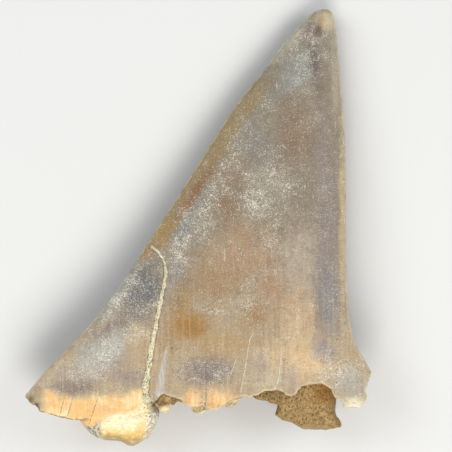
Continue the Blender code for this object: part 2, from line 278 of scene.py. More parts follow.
class Finish:
    # a material whose nodes are written as sums, with its colours known by name
    def __init__(self, name, tones, **constants):
        self.tones = {key: linear(seen) for key, seen in tones.items()}
        self.material = bpy.data.materials.new(name)
        self.material.use_nodes = True
        self.tree = self.material.node_tree
        self.shader = self.tree.nodes["Principled BSDF"]
        for key, value in constants.items():
            self.shader.inputs[key.replace("_", " ")].default_value = value
        coords = self.tree.nodes.new("ShaderNodeTexCoord")
        place = self.node("ShaderNodeVectorMath", {"operation": "SCALE"},
                          {0: Wire(self, coords.outputs["Object"]), "Scale": 1 / mm})
        parts = self.node("ShaderNodeSeparateXYZ", {}, {0: place})
        self.place = place
        self.x, self.y, self.z = (Wire(self, parts.socket.node.outputs[i]) for i in range(3))

    def node(self, kind, settings, inputs, output=0):
        made = self.tree.nodes.new(kind)
        for key, value in settings.items():
            setattr(made, key, value)
        for key, value in inputs.items():
            self.fill(made.inputs[key], value)
        return Wire(self, made.outputs[output])

    def fill(self, socket, value):
        if isinstance(value, Wire):
            self.tree.links.new(value.socket, socket)
        else:
            socket.default_value = self.tones[value] if isinstance(value, str) else value

    def feed(self, name, wire):
        self.fill(self.shader.inputs[name], wire)

    def lay(self, share, tone):
        # a further layer on the colour so far
        self.colour = self.mix(share, self.colour, tone)

    def paint(self):
        shade = self.node("ShaderNodeVectorMath", {"operation": "SCALE"},
                          {0: self.colour, "Scale": 1 / lightness})
        self.feed("Base Color", shade)

    def sum(self, operation, *terms):
        return self.node("ShaderNodeMath", {"operation": operation}, dict(enumerate(terms)))

    def attribute(self, name):
        return self.node("ShaderNodeAttribute", {"attribute_name": name}, {}, "Fac")

    def mix(self, share, a, b):
        made = self.tree.nodes.new("ShaderNodeMix")
        made.data_type, made.clamp_factor = "RGBA", True
        for socket, value in ((0, share), (6, a), (7, b)):
            self.fill(made.inputs[socket], value)
        return Wire(self, made.outputs[2])

    def ease(self, value, low, high, start=0.0, end=1.0):
        return self.node("ShaderNodeMapRange", {"interpolation_type": "SMOOTHSTEP"},
                         {0: value, 1: low, 2: high, 3: start, 4: end})

    def shifted(self, stretch, shift):
        return self.node("ShaderNodeVectorMath", {"operation": "MULTIPLY_ADD"},
                         {0: self.place, 1: stretch, 2: shift})

    def noise(self, scale, detail, roughness, stretch=(1, 1, 1), shift=(0, 0, 0)):
        inputs = {"Vector": self.shifted(stretch, shift), "Scale": scale, "Detail": detail}
        return self.node("ShaderNodeTexNoise", {}, {**inputs, "Roughness": roughness})

    def cells(self, scale, stretch=(1, 1, 1), shift=(0, 0, 0)):
        inputs = {"Vector": self.shifted(stretch, shift), "Scale": scale}
        return self.node("ShaderNodeTexVoronoi", {}, inputs, "Distance")

    def patch(self, centre, reach, turn=0.0, ragged=0.0, wobble=None):
        # a soft oval in plan, 1 at its middle
        c, s = math.cos(math.radians(turn)), math.sin(math.radians(turn))
        dx, dy = self.x - centre[0], self.y - centre[1]
        u = (dx * c + dy * s) / reach[0]
        v = (dy * c - dx * s) / reach[1]
        far = (u * u + v * v) ** 0.5
        if wobble is not None:
            far = far + wobble.swing(2 * ragged)
        return self.ease(far, *patchEdge)

    def bump(self, height, distance, strength, before=None):
        inputs = {"Height": height, "Distance": distance * mm, "Strength": strength}
        if before is not None:
            inputs["Normal"] = before
        return self.node("ShaderNodeBump", {}, inputs)


# The forms

cracks = {
    # half is the half width at its start and end, tone is how light (or, below 0, dark) it is
    "blueA": {"route": [(-2.1, -7.9), (-2.3, -9.1), (-2.5, -10.1), (-2.65, -11.3)],
              "half": (0.06, 0.3), "tone": 0.8},
    "violet": {"route": [(0.5, -8.8), (0.52, -10.2), (0.5, -12.3)], "half": (0.03, 0.06), "tone": -0.55},
    "whiteA": {"route": [(4.3, -7.3), (4.2, -7.1), (3.75, -7.3), (3.5, -7.75), (3.3, -8.9), (3.1, -10.05),
                         (2.9, -11.2)], "half": (0.02, 0.03), "tone": 1.0},
    "whiteB": {"route": [(2.6, -8.9), (2.4, -9.5), (2.2, -10.1)], "half": (0.03, 0.03), "tone": 0.5},
    "whiteC": {"route": [(5.7, -7.8), (5.6, -9.1), (5.45, -10.4), (5.25, -11.0)],
               "half": (0.015, 0.04), "tone": 1.0},
    "blueD": {"route": [(5.95, -8.2), (5.85, -9.5), (5.7, -10.8)], "half": (0.06, 0.1), "tone": -0.3},
    "darkA": {"route": [(-6.6, -11.0), (-6.75, -11.5), (-7.0, -12.1), (-7.35, -13.2)],
              "half": (0.025, 0.035), "tone": -0.65},
    "blueB": {"route": [(-9.0, -11.0), (-9.1, -11.5), (-9.4, -12.75)], "half": (0.03, 0.04), "tone": -0.5},
    "blueC": {"route": [(-8.35, -11.0), (-8.5, -11.5), (-8.65, -12.0), (-8.9, -12.9)],
              "half": (0.03, 0.04), "tone": -0.55},
    # a painted shade line in the nook beside the tab
    "nookShade": {"route": [(-3.8, -11.5), (-3.3, -11.9), (-2.95, -12.1), (-2.75, -12.4), (-2.5, -12.6)],
             "half": (0.05, 0.09), "tone": -1.0},
    "scratchA": {"route": [(5.7, 5.7), (5.9, 5.45)], "half": (0.03, 0.03), "tone": 0.8},
    "scratchB": {"route": [(3.5, 6.6), (3.58, 6.3)], "half": (0.02, 0.02), "tone": 0.7},
    "scratchC": {"route": [(1.1, 0.0), (1.6, -0.3), (2.0, -0.6)], "half": (0.012, 0.012), "tone": 0.6},
    "scratchD": {"route": [(-7.45, -7.3), (-7.15, -7.6)], "half": (0.02, 0.02), "tone": 0.9},
    "scratchE": {"route": [(3.1, -2.9), (3.5, -3.3), (4.1, -4.2)], "half": (0.012, 0.012), "tone": 0.5},
}
rootFoot = [(-8.1, -13.25), (-7.35, -14.15), (-6.7, -14.5), (-5.35, -14.65), (-4.5, -15.0), (-3.65, -14.5),
            (-3.2, -14.1), (-2.85, -13.35), (-2.7, -12.75)]
rootBorder = [(-2.9, -10.9), (-3.8, -11.6), (-4.3, -12.4), (-4.9, -12.55), (-5.7, -12.7), (-6.4, -13.0),
              (-6.9, -13.4), (-7.6, -13.6), (-8.6, -13.6)]  # above it the enamel, below it the root


crackLook = {
    "far": 0.45,  # distances are kept up to this
    "fades": (0.45, 0.3),  # and a crack is gone at the first and whole at the second
    "starts": (0.0, 0.25),  # the share of its length over which it begins
    "upward": 0.3,  # only faces turned up more than this have cracks
    "plainWidth": 0.03,
}


def markPlaces(piece, points, normals):
    # what the enamel needs to know about each point, kept as attributes
    plan = points[:, :2]
    gaps = {name: nearRoute(plan, curveThrough(route, spans[name])) for name, route in outlines.items()}
    for name in ("left", "right", "broken", "corner"):
        keep(piece, name + "Gap", gaps[name][0])
    gap, side, along = gaps["seam"]
    keep(piece, "seam", gap * np.where(side == 0, 1, -side))
    gap, side, along = nearRoute(plan, curveThrough(rootBorder, spans["rootBorder"]))
    keep(piece, "root", gap * np.where(side == 0, 1, -side))
    keep(piece, "facing", normals[:, 2])
    keep(piece, "footGap", nearRoute(plan, np.array(rootFoot))[0])
    crackSide = np.full(len(points), crackLook["far"])
    crackTone = np.zeros(len(points))
    crackWidth = np.full(len(points), crackLook["plainWidth"])
    nearest = np.full(len(points), np.inf)
    for look in cracks.values():
        gap, side, along = nearRoute(plan, curveThrough(look["route"], spans["crack"]))
        closer = gap < nearest
        nearest[closer] = gap[closer]
        half = look["half"][0] + (look["half"][1] - look["half"][0]) * along
        fade = ease(along, *crackLook["starts"]) * ease(gap, *crackLook["fades"])
        fade *= normals[:, 2] > crackLook["upward"]
        crackSide[closer] = (gap * side)[closer]
        crackWidth[closer] = half[closer]
        crackTone[closer] = (look["tone"] * fade)[closer]
    keep(piece, "crackSide", np.clip(crackSide, -crackLook["far"], crackLook["far"]))
    keep(piece, "crackWidth", crackWidth)
    keep(piece, "crackTone", crackTone)
    return gaps


def insideOutline(plan, outline):
    inside = np.zeros(len(plan), bool)
    for (x0, y0), (x1, y1) in zip(outline, outline[1:] + outline[:1]):
        level = (plan[:, 1] < y0) != (plan[:, 1] < y1)
        if level.any():
            inside[level] ^= plan[level, 0] < x0 + (plan[level, 1] - y0) * (x1 - x0) / (y1 - y0)
    return inside


def withinLump(look, points, normals):
    # 1 where a point lies well within what a lump replaces
    # the back and the enamel over it are left to the crown
    inner = ease(nearRoute(points[:, :2], np.array(look["joins"]))[0], *lumpLook["pressedFrom"])
    inner *= insideOutline(points[:, :2], look["outline"])
    inner *= points[:, 2] < planeAt(look["top"], points[:, 0], points[:, 1]) + lumpLook["topReach"]
    ceiling = ease(normals[:, 2], *lumpLook["downward"]) * ease(points[:, 2], *lumpLook["ceiling"])
    return inner * (1 - onBack(points, normals)) * (1 - ceiling)


def onBack(points, normals):
    return ease(normals[:, 2], *lumpLook["downward"]) * ease(points[:, 1], *lumpLook["back"])


def pitted(points, look):
    # how deep each point lies in one of many scattered pores, 0 to 1
    rng = np.random.RandomState(look["seed"])
    stretch = np.array(look["stretch"])
    stretched = points * stretch
    chosen = []
    grid = {}
    for i in rng.permutation(len(points)):
        p = stretched[i]
        cell = tuple((p // look["spacing"]).astype(int))
        close = (q for dx in (-1, 0, 1) for dy in (-1, 0, 1) for dz in (-1, 0, 1)
                 for q in grid.get((cell[0] + dx, cell[1] + dy, cell[2] + dz), ()))
        if all(np.sum((q - p) ** 2) > look["spacing"] ** 2 for q in close):
            grid.setdefault(cell, []).append(p)
            chosen.append(p)
    sizes = rng.uniform(*look["radius"], len(chosen))
    wells = KDTree(len(chosen))
    for i, p in enumerate(chosen):
        wells.insert(p, i)
    wells.balance()
    depth = np.zeros(len(points))
    for i, p in enumerate(stretched):
        _, k, far = wells.find(p)
        depth[i] = max(0.0, 1 - (far / sizes[k]) ** 2)
    return depth


# The root stub and the dentine are cut from the same solid, remeshed finer and laid over the crown,
# which is pressed in below them

lumpLook = {
    "low": -0.5,  # where the cutting blocks begin, under the surface it lies on
    "topReach": 0.02,
    "downward": (-0.1, -0.5),  # how far a face is turned down: not at all, and fully
    "ceiling": (3.2, 3.5),  # the heights between which a downward face is the hollow's ceiling
    "back": (-11.6, -11.0),  # the places along the tooth between which one is its back
    "joinSink": 0.06,  # at a join a lump lies this deep under the crown
    # the distances from a join over which it comes level, it swells, its own small lumps begin,
    # and the crown is pressed in
    "joinRise": (0.05, 0.3),
    "swellFrom": (0.25, 0.8),
    "lumpsFrom": (0.35, 1.0),
    "pressedFrom": (0.35, 0.8),
    "lumpShift": 11.0,  # where in the noise the small lumps begin
    "porousWithin": 0.6,  # the share of a porous place's reach in which its pores are full
    "backSink": 0.1,
}
rootLook = {
    "outline": [(-8.35, -12.6), (-7.9, -12.3), (-2.75, -10.6), (-2.3, -12.6), (-2.4, -15.4), (-8.6, -15.4)],
    "joins": [(-8.35, -12.6), (-7.9, -12.3), (-2.75, -10.6), (-2.3, -12.6)],  # where it is cut from the rest
    "top": (6.0, 0.0, 0.0, 0.0, 0.0),  # over all of it
    "voxel": 0.055,
    "smoothing": 6,
    "swell": 0.03,
    "pressedIn": 0.2,
    "lumps": ((1.4, 0.05), (3.2, 0.03), (7.0, 0.014)),
    "pores": {"seed": 3, "spacing": 0.19, "radius": (0.03, 0.08), "stretch": (1.0, 0.8, 1.0), "depth": 0.09},
    "porous": [((-2.9, -12.9), 0.85), ((-7.5, -13.9), 1.0), ((-3.4, -12.0), 0.6), ((-3.3, -14.0), 0.4)],
}
dentineLook = {
    "outline": [(3.2, -8.9), (9.75, -8.9), (9.75, -12.5), (10.3, -12.8), (10.3, -14.7), (4.6, -14.5),
                (3.2, -12.5)],
    "joins": [(3.2, -12.5), (3.2, -8.9), (9.75, -8.9), (9.75, -12.5)],
    "top": (4.05, -0.065, -0.155, 6.5, -10.6),  # just under the enamel
    "voxel": 0.05,
    "smoothing": 4,
    "swell": 0.03,
    "pressedIn": 0.25,
    "lumps": ((2.4, 0.06), (7.0, 0.035)),
    "pores": {"seed": 8, "spacing": 0.15, "radius": (0.01, 0.07), "stretch": (1.0, 0.38, 0.6), "depth": 0.1},
    "porous": [((7.0, -11.5), 40.0)],
}


# The crown

crownLook = {
    "voxel": 0.114,
    "smoothing": 8,
    "edgeKept": (0.1, 0.6),  # near an edge the smoothing fades out over this distance
    "crumble": ((1.3, 0.07), (3.6, 0.03)),  # scales and heights of the hollow's rough lining
    "edgeChips": ((1.1, 0.07), (3.2, 0.08), (5.0, 0.06)),  # and of the broken rim
    "rimReach": 0.5,
    "stretch": (1, 1, 0.4),  # the rim's chips reach down through its thickness
    "shifts": (5.0, 9.0, 2.0),  # where in the noise the chips along, the chips across and the crumble begin
    "lifted": 0.06,  # how far off the surface the search for cover starts
    "coverSpread": 3,
    "coverFrom": (0.3, 0.9),
}

crown = copyTooth("crown")
remesh(crown, crownLook["voxel"])
points = readPoints(crown)
nearEdge = np.minimum.reduce([nearRoute(points[:, :2], curveThrough(route, spans["rim"]))[0]
                              for route in outlines.values()])
group = crown.vertex_groups.new(name="open")
for i, w in enumerate(ease(nearEdge, *crownLook["edgeKept"])):
    group.add([i], float(w), "REPLACE")
relax(crown, crownLook["smoothing"], "open")
relax(crown, 1)
print("crown remeshed", len(points))

points = readPoints(crown)
normals = readPoints(crown, "normal")
crownTree = BVHTree.FromPolygons([tuple(p) for p in points],
                                 [tuple(face.vertices) for face in crown.data.polygons])
covered = np.zeros(len(points))
for i, (p, n) in enumerate(zip(points, normals)):
    start, out = Vector(p), Vector(n)
    up = Vector((0, 0, 1 if out.z > 0 else -1))
    covered[i] = crownTree.ray_cast(start + out * crownLook["lifted"], up)[0] is not None
covered = spread(crown, covered, crownLook["coverSpread"])
gaps = markPlaces(crown, points, normals)
print("crown measured")

rim = np.minimum(gaps["broken"][0], gaps["corner"][0])
nearRim = ease(rim, crownLook["rimReach"], 0.0)
alongShift, acrossShift, crumbleShift = crownLook["shifts"]
moved = points.copy()
for k, (scale, height) in enumerate(crownLook["edgeChips"]):
    moved[:, 1] += nearRim * height * grain(points * crownLook["stretch"], scale, alongShift + k)
    moved[:, 0] += nearRim * height * grain(points * crownLook["stretch"], scale, acrossShift + k)
for k, (scale, height) in enumerate(crownLook["crumble"]):
    rough = grain(points, scale, crumbleShift + k)
    moved += normals * (ease(covered, *crownLook["coverFrom"]) * height * rough)[:, None]
for look in (rootLook, dentineLook):
    moved -= normals * (look["pressedIn"] * withinLump(look, points, normals))[:, None]
writePoints(crown, moved)
keep(crown, "covered", covered)
keep(crown, "pore", np.zeros(len(points)))
print("crown sculpted")


def makeLump(name, look):
    piece = copyTooth(name)
    cutWith(piece, look["outline"], lumpLook["low"], look["top"])
    remesh(piece, look["voxel"])
    relax(piece, look["smoothing"])
    points, normals = readPoints(piece), readPoints(piece, "normal")
    fromJoin = nearRoute(points[:, :2], np.array(look["joins"]))[0]
    shift = lumpLook["joinSink"] * (ease(fromJoin, *lumpLook["joinRise"]) - 1)
    shift += look["swell"] * ease(fromJoin, *lumpLook["swellFrom"])
    for k, (scale, height) in enumerate(look["lumps"]):
        lumps = grain(points, scale, lumpLook["lumpShift"] + 3 * k)
        shift += height * lumps * ease(fromJoin, *lumpLook["lumpsFrom"])
    depth = pitted(points, look["pores"])
    depth *= np.maximum.reduce([
        ease(np.hypot(*(points[:, :2] - middle).T), reach, lumpLook["porousWithin"] * reach)
        for middle, reach in look["porous"]])
    shift -= look["pores"]["depth"] * depth
    # where the lump is only a slice of the crown's back it stays just under it
    sliced = onBack(points, normals)
    shift = shift * (1 - sliced) - lumpLook["backSink"] * sliced
    points = points + normals * shift[:, None]
    points[:, 2] = np.maximum(points[:, 2], 0.0)
    writePoints(piece, points)
    keep(piece, "pore", depth)
    print(name, "shaped")
    return piece


rootStub = makeLump("rootStub", rootLook)
markPlaces(rootStub, readPoints(rootStub), readPoints(rootStub, "normal"))
keep(rootStub, "covered", np.zeros(len(rootStub.data.vertices)))
dentine = makeLump("dentine", dentineLook)


# Three chips of enamel still hang from the broken edge, and a shred of dentine shows in the notch beside them

chips = {
    "chipTab": {
        "outline": [(-3.0, -11.95), (-2.72, -12.45), (-2.55, -12.62), (-2.15, -12.68), (-1.97, -12.35),
                    (-1.9, -11.9), (-1.85, -11.2), (-2.4, -10.9), (-2.85, -11.2)],
        "middle": (-2.4, -11.9), "height": 4.75, "thick": 0.36, "tilt": (0.05, -0.12), "cup": 0.0,
        "voxel": 0.03, "rough": 0.03},
    "chipShell": {
        "outline": [(-0.5, -12.1), (-0.5, -12.45), (-0.25, -12.68), (0.2, -12.72), (0.55, -12.55),
                    (0.72, -12.35), (0.5, -11.9), (0.0, -11.8)],
        "middle": (0.1, -12.3), "height": 4.72, "thick": 0.26, "tilt": (0.05, 0.2), "cup": 0.08,
        "voxel": 0.035, "rough": 0.035},
    "chipThin": {
        "outline": [(1.75, -12.1), (1.98, -12.36), (2.3, -12.28), (2.7, -11.95), (3.1, -11.45),
                    (2.9, -11.2), (2.3, -11.5)],
        "middle": (2.4, -11.85), "height": 4.66, "thick": 0.22, "tilt": (-0.15, 0.3), "cup": 0.0,
        "voxel": 0.035, "rough": 0.035},
    "shred": {
        "outline": [(-2.7, -11.0), (-2.6, -11.7), (-2.0, -12.05), (-1.7, -12.15), (-1.35, -11.9),
                    (-1.0, -12.0), (-0.75, -11.6), (-0.3, -11.2), (-0.5, -10.2), (-2.6, -10.0)],
        "middle": (-1.4, -11.2), "height": 3.2, "thick": 2.2, "tilt": (-0.25, 0.1), "cup": -0.05,
        "voxel": 0.05, "rough": 0.16},
}


chipLook = {
    "bevel": 0.04,
    "smoothing": 2,
    "cupReach": 0.6,
    "roughness": ((2.5, 1.0), (7.0, 0.4)),  # scales and shares
    "rim": (0.2, 0.04),
}


def makeChip(name, look):
    piece = prism(look["outline"], 0, look["thick"])
    piece.name = piece.data.name = name
    bpy.ops.object.mode_set(mode="EDIT")
    bpy.ops.mesh.select_all(action="SELECT")
    bpy.ops.mesh.bevel(offset=chipLook["bevel"], segments=2, affect="EDGES")
    bpy.ops.object.mode_set(mode="OBJECT")
    remesh(piece, look["voxel"])
    relax(piece, chipLook["smoothing"])
    points = readPoints(piece)
    away = points[:, :2] - look["middle"]
    points[:, 2] += look["height"] - look["thick"] + away @ np.array(look["tilt"])
    points[:, 2] += look["cup"] * (np.hypot(*away.T) / chipLook["cupReach"]) ** 2
    writePoints(piece, points)
    normals = readPoints(piece, "normal")
    rough = sum(share * grain(points, scale, 1.0 + k)
                for k, (scale, share) in enumerate(chipLook["roughness"]))
    writePoints(piece, points + normals * (look["rough"] * rough)[:, None])
    border = np.array(look["outline"] + look["outline"][:1])
    keep(piece, "rim", ease(nearRoute(points[:, :2], border)[0], *chipLook["rim"]))
    keep(piece, "pore", np.zeros(len(points)))
    return piece


chipPieces = {name: makeChip(name, look) for name, look in chips.items()}
print("chips shaped")


# The raised, porous lip of the cracked-off corner, along the seam

lipLook = {
    "offset": -0.02,  # from the middle of the seam, towards the corner
    "radii": (0.085, 0.27),  # at its top and its foot
    "sink": 0.55,  # how much of its radius is below the face
    "ends": (0.075, 0.93),
    "steps": 240,
    "voxel": 0.035,
    "smoothing": 3,
    "widens": 1.3,  # above 1 it stays thin for longer
    "leans": 0.3,  # how much of its radius it stands towards the corner
    "heightFrom": 0.25,  # how far beside it the face's height is read
    "heightWindow": 13,  # the steps over which that height is evened out
    "lifted": 0.02,
    "uneven": (2.0, 4.0, 0.3),  # scale, level and share of the noise in its width
    "wanders": (1.5, 9.0, 0.05),  # and in its place
    "lumps": ((3.4, 3.0, 0.06), (8.0, 6.0, 0.03)),  # scales, shifts and heights
    "poresFrom": (-3.5, -7.0),  # between these the pores go from their least to all of their depth
    "leastPores": 0.3,
    "castFrom": 20,
    "pores": {"seed": 5, "spacing": 0.15, "radius": (0.02, 0.075), "stretch": (1.0, 0.8, 1.0),
              "depth": 0.06},
}


def noiseAt(place, scale, level, share):
    return share * noise.noise(Vector((place[0] * scale, place[1] * scale, level)))


seamRoute = curveThrough(outlines["seam"], spans["lip"])
steps = np.linalg.norm(np.diff(seamRoute, axis=0), axis=1)
lengths = np.concatenate([[0], np.cumsum(steps)])
shares = np.linspace(*lipLook["ends"], lipLook["steps"])
lipPlan = np.stack([np.interp(shares * lengths[-1], lengths, seamRoute[:, k]) for k in range(2)], 1)
along = np.gradient(lipPlan, axis=0)
along /= np.linalg.norm(along, axis=1)[:, None]
across = np.stack([-along[:, 1], along[:, 0]], 1)
strand = bpy.data.curves.new("seamLip", "CURVE")
strand.dimensions = "3D"
strand.bevel_depth = 1.0
strand.bevel_resolution = 4
strand.use_fill_caps = True
spline = strand.splines.new("POLY")
spline.points.add(len(lipPlan) - 1)
heights = []
for i, (p, n, share) in enumerate(zip(lipPlan, across, shares)):
    radius = lipLook["radii"][0] + (lipLook["radii"][1] - lipLook["radii"][0]) * share ** lipLook["widens"]
    radius *= 1 + noiseAt(p, *lipLook["uneven"])
    middle = p + n * (lipLook["offset"] - lipLook["leans"] * radius + noiseAt(p, *lipLook["wanders"]))
    beside = p + n * (lipLook["offset"] - lipLook["heightFrom"] - radius)
    down = crownTree.ray_cast(Vector((*beside, lipLook["castFrom"])), Vector((0, 0, -1)))
    heights.append(down[0].z if down[0] is not None else heights[-1])
    spline.points[i].co = (middle[0], middle[1], 0, 1)
    spline.points[i].radius = radius
window = lipLook["heightWindow"]
heights = np.convolve(np.pad(heights, window // 2, mode="edge"), np.ones(window) / window, mode="valid")
for point, height in zip(spline.points, heights):
    point.co[2] = height - lipLook["sink"] * point.radius + lipLook["lifted"]
seamLip = bpy.data.objects.new("seamLip", strand)
bpy.context.scene.collection.objects.link(seamLip)
pick(seamLip)
bpy.ops.object.convert(target="MESH")
seamLip = bpy.context.active_object
remesh(seamLip, lipLook["voxel"])
relax(seamLip, lipLook["smoothing"])
points, normals = readPoints(seamLip), readPoints(seamLip, "normal")
depth = pitted(points, lipLook["pores"])
depth *= ease(points[:, 1], *lipLook["poresFrom"]) * (1 - lipLook["leastPores"]) + lipLook["leastPores"]
shift = sum(height * grain(points, scale, moved) for scale, moved, height in lipLook["lumps"])
shift -= lipLook["pores"]["depth"] * depth
writePoints(seamLip, points + normals * shift[:, None])
keep(seamLip, "pore", depth)
print("seam lip shaped")


# Enamel, and the root that it turns into below the corner

stains = {
    # place, reach, turn, colour as seen, strength
    "tipCream": [(8.75, 14.3), (0.9, 0.9), 0, (206, 190, 158), 1.0],
    "tipRim": [(6.3, 12.9), (0.5, 2.8), -40, (178, 176, 158), 0.8],
    "upperHaze": [(6.7, 10.6), (1.3, 2.8), -35, (140, 142, 136), 1.0],
    "tipStreak": [(7.95, 11.3), (0.5, 2.9), 8, (104, 88, 82), 1.0],
    "upperRight": [(9.35, 9.8), (0.4, 3.4), 0, (172, 162, 140), 0.8],
    "highWarm": [(6.6, 6.6), (1.8, 2.6), 0, (140, 118, 94), 0.9],
    "highLeft": [(4.1, 8.6), (0.9, 2.4), -35, (136, 128, 112), 0.8],
    "centreHigh": [(4.0, 5.4), (1.6, 2.0), -30, (138, 131, 122), 0.9],
    "middleWarm": [(2.2, 3.6), (1.4, 1.8), -30, (146, 126, 102), 0.85],
    "centreHaze": [(4.9, 2.6), (2.0, 1.8), 0, (156, 146, 128), 0.85],
    "brownSpot": [(1.9, 1.5), (1.0, 1.1), 0, (142, 112, 80), 0.85],
    "leftHaze": [(-0.7, 0.3), (1.0, 2.4), -25, (132, 130, 124), 0.95],
    "besideSeam": [(-1.4, -3.4), (0.8, 2.0), 0, (138, 134, 128), 0.9],
    "orange": [(-0.9, -6.8), (1.9, 1.6), 0, (172, 128, 62), 1.0],
    "orangeHigh": [(-1.1, -4.9), (0.9, 1.5), 0, (168, 136, 88), 0.8],
    "ochre": [(1.2, -3.6), (2.0, 2.4), 0, (170, 140, 102), 0.9],
    "warm": [(3.2, -2.0), (2.6, 2.8), 0, (178, 148, 116), 0.85],
    "russet": [(5.0, -4.6), (1.6, 2.2), 0, (178, 146, 116), 0.8],
    "warmRight": [(6.9, -2.2), (1.5, 3.6), 0, (188, 174, 155), 0.85],
    "brown": [(3.7, -6.2), (1.4, 1.1), 0, (172, 134, 92), 0.9],
    "sand": [(1.6, -8.0), (2.8, 0.9), 0, (184, 154, 110), 0.85],
    "peachHigh": [(7.0, -6.2), (1.9, 2.2), 0, (206, 178, 142), 0.95],
    "peach": [(6.8, -9.1), (2.8, 2.0), 0, (226, 196, 154), 1.0],
    "peachFoot": [(4.6, -10.4), (1.6, 1.0), 0, (206, 190, 160), 0.8],
    "grey": [(0.7, -9.8), (2.3, 1.1), 0, (132, 118, 110), 1.0],
    "dullA": [(4.1, -9.5), (0.8, 1.2), 0, (176, 157, 142), 0.75],
    "dullB": [(6.35, -10.3), (0.6, 1.2), 0, (182, 165, 152), 0.75],
    "dullC": [(8.5, -8.3), (0.8, 1.3), 30, (164, 150, 148), 0.8],
    "nubRight": [(7.9, -9.6), (0.9, 0.6), 0, (236, 198, 150), 0.8],
    "band": [(8.7, 0.9), (0.9, 9.0), 1, (148, 136, 130), 0.85],
    "lowBand": [(8.85, -5.0), (1.15, 3.8), 4, (140, 134, 133), 0.95],
    "rightStrip": [(9.85, 1.0), (0.3, 9.0), 0, (190, 172, 134), 0.9],
    "corner": [(10.4, -10.6), (1.3, 1.5), 0, (184, 176, 162), 0.9],
    "foot": [(10.6, -12.1), (1.0, 0.7), 0, (255, 246, 212), 1.0],
    "fragmentTop": [(-3.6, -1.8), (0.7, 0.8), -30, (160, 120, 72), 1.0],
    "fragment": [(-3.9, -4.6), (1.7, 3.2), -20, (98, 98, 100), 1.0],
    "fragmentRim": [(-5.6, -4.9), (0.6, 3.4), -36, (150, 152, 144), 0.8],
    "fragmentDusk": [(-5.9, -6.9), (0.8, 2.8), -46, (136, 122, 118), 0.95],
    "fragmentEdge": [(-9.4, -9.6), (0.5, 2.0), -45, (200, 182, 148), 0.8],
    "fragmentWarm": [(-4.1, -8.2), (1.1, 2.0), 0, (204, 178, 136), 0.9],
    "fragmentBase": [(-7.0, -9.7), (3.8, 1.7), 32, (170, 157, 146), 0.8],
    "fragmentMid": [(-6.7, -8.6), (2.4, 1.2), 35, (182, 180, 170), 1.0],
    "fragmentLow": [(-5.0, -10.2), (1.6, 0.8), 0, (158, 144, 136), 0.8],
    "fragmentFar": [(-9.0, -11.0), (2.3, 0.6), 6, (144, 126, 112), 0.9],
}
# clouds where the specks gather, over which a painted sheen is laid
speckAndSheenClouds = {
    # place, reach, turn, thickness of the cloud
    "middle": [(4.6, 2.6), (2.6, 2.0), 20, 0.8],
    "trail": [(4.6, -0.8), (1.2, 3.6), 10, 0.4],
    "low": [(3.0, -5.1), (1.9, 1.5), 0, 0.6],
    "left": [(-0.3, 0.2), (1.3, 4.0), -32, 0.9],
    "tip": [(6.9, 13.3), (0.8, 2.6), -40, 0.7],
    "high": [(3.0, 5.6), (1.2, 4.0), -35, 0.45],
    "fragment": [(-4.4, -5.0), (1.9, 2.2), -30, 0.8],
    "fragmentEdge": [(-6.6, -9.0), (3.6, 1.3), 40, 0.95],
    "corner": [(8.9, -9.6), (2.6, 1.3), -10, 0.9],
    "upper": [(7.0, 10.4), (1.4, 4.0), -20, 0.6],
    "scuff": [(0.9, -9.8), (2.6, 1.1), 0, 0.7],
    "fragmentRim": [(-5.2, -4.4), (0.55, 3.4), -36, 0.8],
    "besideSeam": [(-1.5, -3.2), (0.6, 2.2), 0, 0.5],
}

spots = {
    # place, reach, turn, how ragged
    "nubLeft": [(-0.3, -11.75), (0.8, 0.75), 0, 0.8],
    "nubRight": [(1.4, -11.7), (1.2, 0.9), 0, 0.8],
    "clean": [(-0.6, -6.9), (2.2, 1.5)],
    "tipMark": [(8.35, 14.0), (0.35, 0.7), -15],
    "tipStain": [(8.2, 13.45), (0.35, 0.5), 0, 0.9],
    "tab": [(-2.4, -12.0), (0.55, 0.8)],
    "shell": [(0.1, -12.55), (0.8, 0.4)],
    "thin": [(2.5, -12.0), (0.8, 0.4), 30],
    "cornerMark": [(-11.4, -11.75), (0.3, 0.35)],
    "cornerPitShade": [(-11.0, -12.15), (0.22, 0.3), 30, 1.2],
    "rootCream": [(-5.2, -13.1), (1.5, 0.7), 0, 1.0],
    "rootOchre": [(-3.9, -13.9), (0.8, 0.7), 0, 1.0],
    "rootShade": [(-5.4, -14.2), (1.3, 0.35), 0, 1.0],
}
